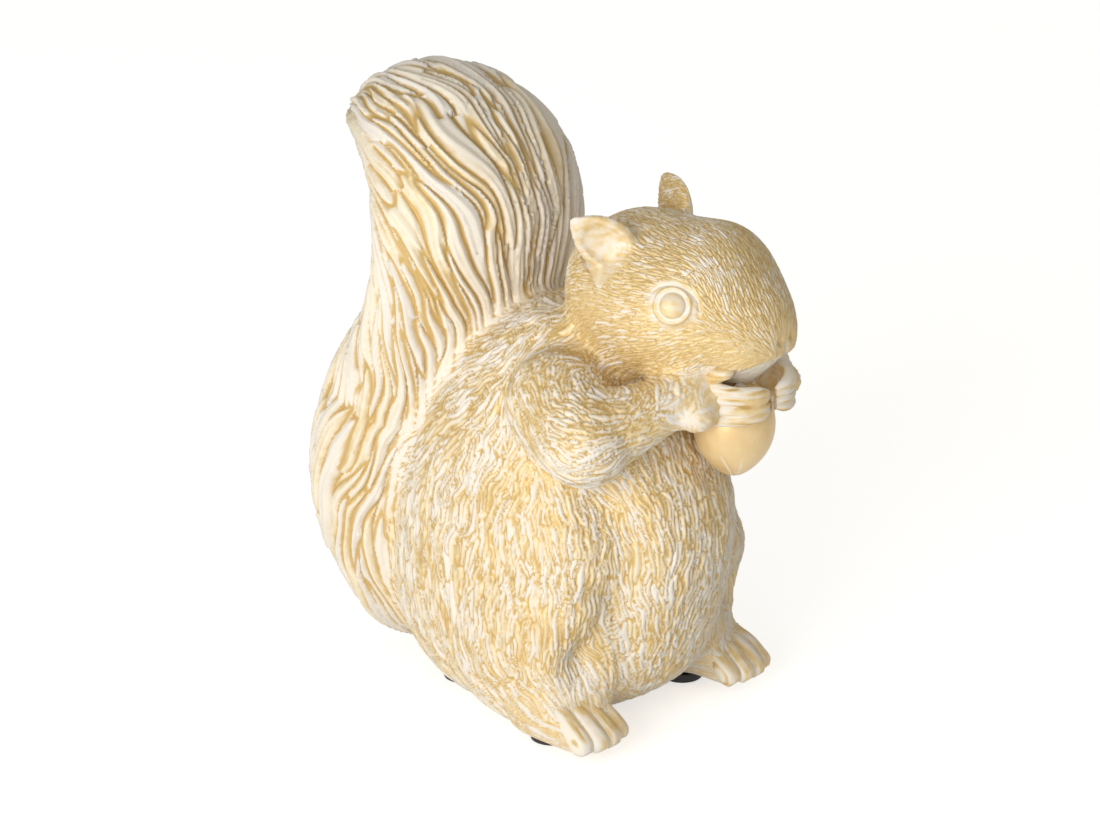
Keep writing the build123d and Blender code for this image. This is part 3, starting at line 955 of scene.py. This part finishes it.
for index, line_turn in enumerate(nut_line_turns):
    bend = line_bend * np.sin(line_waves * height + index)
    gap = (turn - line_turn - bend + 180) % 360 - 180
    gap_mm = np.radians(gap) * nut_radius * round_share
    start = line_start - line_stagger * (index % 3)
    fade = smooth_step(start, start - line_fade, height)
    line = np.maximum(line, ring(gap_mm, 0, line_width) * fade)
shell = nut_radius * round_share - line_depth * line
spread = np.maximum(np.hypot(ball[:, 0], ball[:, 1]), 1e-6)
move_points(nut, np.stack([
    nut_middle[0] + ball[:, 0] / spread * shell,
    nut_middle[1] + ball[:, 1] / spread * shell,
    np.where(height < 0, lower_z, upper_z),
], 1))
write_values(nut, "line", line)


def rubbed_gold():
    """Gold paint on smooth resin, rubbed with a cloth. It has a satin shine and faint clouds."""
    cloud_size = 6.0
    deep_gold, pale_gold, line_cream = "#DDB678", "#F4DCAC", "#F1E3C6"
    material = bpy.data.materials.new("rubbed_gold")
    material.use_nodes = True
    tree = material.node_tree
    shader = tree.nodes["Principled BSDF"]
    place = add_node(tree, "ShaderNodeTexCoord", {}).outputs["Object"]
    line_of = add_node(tree, "ShaderNodeAttribute", {}, attribute_name="line").outputs["Fac"]
    cloud = add_node(tree, "ShaderNodeTexNoise", {
        "Vector": place, "Scale": 1 / (cloud_size * mm), "Detail": 4.0, "Roughness": 0.6,
    }).outputs["Fac"]
    gold = add_node(tree, "ShaderNodeMix", {
        "Factor": cloud, mix_first: linear(deep_gold), mix_second: linear(pale_gold),
    }, data_type="RGBA")
    colour = add_node(tree, "ShaderNodeMix", {
        "Factor": line_of, mix_first: gold.outputs[mix_result], mix_second: linear(line_cream),
    }, data_type="RGBA")
    rough = add_node(tree, "ShaderNodeMapRange", {"Value": cloud, "To Min": 0.30, "To Max": 0.44})
    tree.links.new(colour.outputs[mix_result], shader.inputs["Base Color"])
    tree.links.new(rough.outputs["Result"], shader.inputs["Roughness"])
    shader.inputs["Metallic"].default_value = 0.25
    shader.inputs["IOR"].default_value = 1.5
    return material


select_only(nut)
bpy.ops.object.shade_smooth()
nut.data.materials.append(rubbed_gold())
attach(nut, "root")
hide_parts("nut")

# Foot pads
# Four black rubber discs, punched from sheet and stuck under the base to keep it from sliding.
# The punch leaves the edges rounded, and the sole of each disc has a shallow ring.
pad_names = ["pad_front_right", "pad_front_left", "pad_rear_right", "pad_rear_left"]
pad_edge = 0.6
sole_inset = 1.6
sole_depth = 0.35
sole_facing = -0.9
smooth_angle = math.radians(40.0)


def black_rubber():
    """Black sheet rubber, a dull surface with fine grit from the calender rolls."""
    grit_size, grit_height = 0.5, 0.1
    dark_black, worn_black = "#161617", "#2B2A29"
    material = bpy.data.materials.new("black_rubber")
    material.use_nodes = True
    tree = material.node_tree
    shader = tree.nodes["Principled BSDF"]
    place = add_node(tree, "ShaderNodeTexCoord", {}).outputs["Object"]
    grit = add_node(tree, "ShaderNodeTexNoise", {
        "Vector": place, "Scale": 1 / (grit_size * mm), "Detail": 3.0,
    }).outputs["Fac"]
    colour = add_node(tree, "ShaderNodeMix", {
        "Factor": grit, mix_first: linear(dark_black), mix_second: linear(worn_black),
    }, data_type="RGBA")
    rough = add_node(tree, "ShaderNodeMapRange", {"Value": grit, "To Min": 0.5, "To Max": 0.7})
    bump = add_node(tree, "ShaderNodeBump", {
        "Height": grit, "Strength": 0.3, "Distance": grit_height * mm,
    })
    tree.links.new(colour.outputs[mix_result], shader.inputs["Base Color"])
    tree.links.new(rough.outputs["Result"], shader.inputs["Roughness"])
    tree.links.new(bump.outputs["Normal"], shader.inputs["Normal"])
    return material


rubber = black_rubber()
for name in pad_names:
    low, high = (Vector(corner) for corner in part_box(name))
    bpy.ops.object.select_all(action="DESELECT")
    bpy.ops.mesh.primitive_cylinder_add(
        vertices=72, radius=(high.x - low.x) / 2, depth=high.z - low.z, location=(low + high) / 2
    )
    pad = bpy.context.object
    pad.name = name + "_disc"
    bpy.ops.object.transform_apply(location=True, rotation=True, scale=True)
    bpy.ops.object.mode_set(mode="EDIT")
    bpy.ops.mesh.select_mode(type="FACE")
    bpy.ops.mesh.select_all(action="DESELECT")
    bpy.ops.object.mode_set(mode="OBJECT")
    for face in pad.data.polygons:
        face.select = face.normal.z < sole_facing
    bpy.ops.object.mode_set(mode="EDIT")
    bpy.ops.mesh.inset(thickness=sole_inset * mm)
    bpy.ops.mesh.inset(thickness=pad_edge * mm, depth=-sole_depth * mm)
    bpy.ops.object.mode_set(mode="OBJECT")
    rounding = pad.modifiers.new("rounding", "BEVEL")
    rounding.width = pad_edge * mm
    rounding.segments = 4
    rounding.limit_method = "ANGLE"
    bpy.ops.object.modifier_apply(modifier=rounding.name)
    bpy.ops.object.shade_smooth_by_angle(angle=smooth_angle)
    pad.data.materials.append(rubber)
    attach(pad, "root")
    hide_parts(name)

# Camera
# It stands in front of the figure's right shoulder, a little above, as in the photograph.
view_azimuth = math.radians(-48.0)
view_elevation = math.radians(21.0)
view_distance = 1100.0
aim = Vector((0.0, -4.16, 82.0))
frame_width_pixels = 1100
frame_height_pixels = 824
aim_pixel = (564.5, 397.0)
pixels_per_mm = 3.86
sensor = 36.0
back = Vector((
    math.sin(view_azimuth) * math.cos(view_elevation),
    -math.cos(view_azimuth) * math.cos(view_elevation),
    math.sin(view_elevation),
))
right = Vector((math.cos(view_azimuth), math.sin(view_azimuth), 0.0))
above = back.cross(right)
aim -= right * ((aim_pixel[0] - frame_width_pixels / 2) / pixels_per_mm)
aim += above * ((aim_pixel[1] - frame_height_pixels / 2) / pixels_per_mm)
bpy.ops.object.camera_add(location=(aim + back * view_distance) * mm)
camera = bpy.context.object
camera.rotation_euler = back.to_track_quat("Z", "Y").to_euler()
camera.data.sensor_width = sensor
camera.data.lens = sensor * pixels_per_mm * view_distance / frame_width_pixels
bpy.context.scene.camera = camera

# Floor and light
# A white sheet under the figure, one large soft lamp low on the left of the camera, and an even
# white surround. The sheet looks white to the camera and keeps the figure's shadow.
floor_size = 6.0
floor_glow = 0.6
key_place = Vector((-0.95, -0.25, 0.30))
key_aim = Vector((0.0, 0.0, 0.08))
key_size = 0.7
key_power = 6.8
surround_strength = 0.45
paper_white, glow_white, surround_white = "#EDEDEB", "#FFFFFF", "#FFFDF8"
bpy.ops.object.select_all(action="DESELECT")
bpy.ops.mesh.primitive_plane_add(size=floor_size)
floor = bpy.context.object
floor.name = "floor"
paper = bpy.data.materials.new("white_paper")
paper.use_nodes = True
tree = paper.node_tree
path = add_node(tree, "ShaderNodeLightPath", {})
seen = add_node(tree, "ShaderNodeMath", {
    0: path.outputs["Is Camera Ray"], 1: path.outputs["Is Glossy Ray"],
}, operation="MAXIMUM")
seen = add_node(tree, "ShaderNodeMath", {
    0: seen.outputs[0], 1: path.outputs["Is Transmission Ray"],
}, operation="MAXIMUM")
glow = add_node(tree, "ShaderNodeMath", {0: seen.outputs[0], 1: floor_glow}, operation="MULTIPLY")
shader = tree.nodes["Principled BSDF"]
shader.inputs["Base Color"].default_value = linear(paper_white)
shader.inputs["Roughness"].default_value = 0.9
shader.inputs["Emission Color"].default_value = linear(glow_white)
tree.links.new(glow.outputs[0], shader.inputs["Emission Strength"])
floor.data.materials.append(paper)

bpy.ops.object.light_add(type="AREA", location=key_place)
key = bpy.context.object
key.data.shape = "DISK"
key.data.size = key_size
key.data.energy = key_power
key.rotation_euler = (key_place - key_aim).to_track_quat("Z", "Y").to_euler()
world = bpy.data.worlds.new("studio")
bpy.context.scene.world = world
world.use_nodes = True
surround = world.node_tree.nodes["Background"]
surround.inputs["Color"].default_value = linear(surround_white)
surround.inputs["Strength"].default_value = surround_strength
bpy.context.scene.view_settings.view_transform = "Standard"
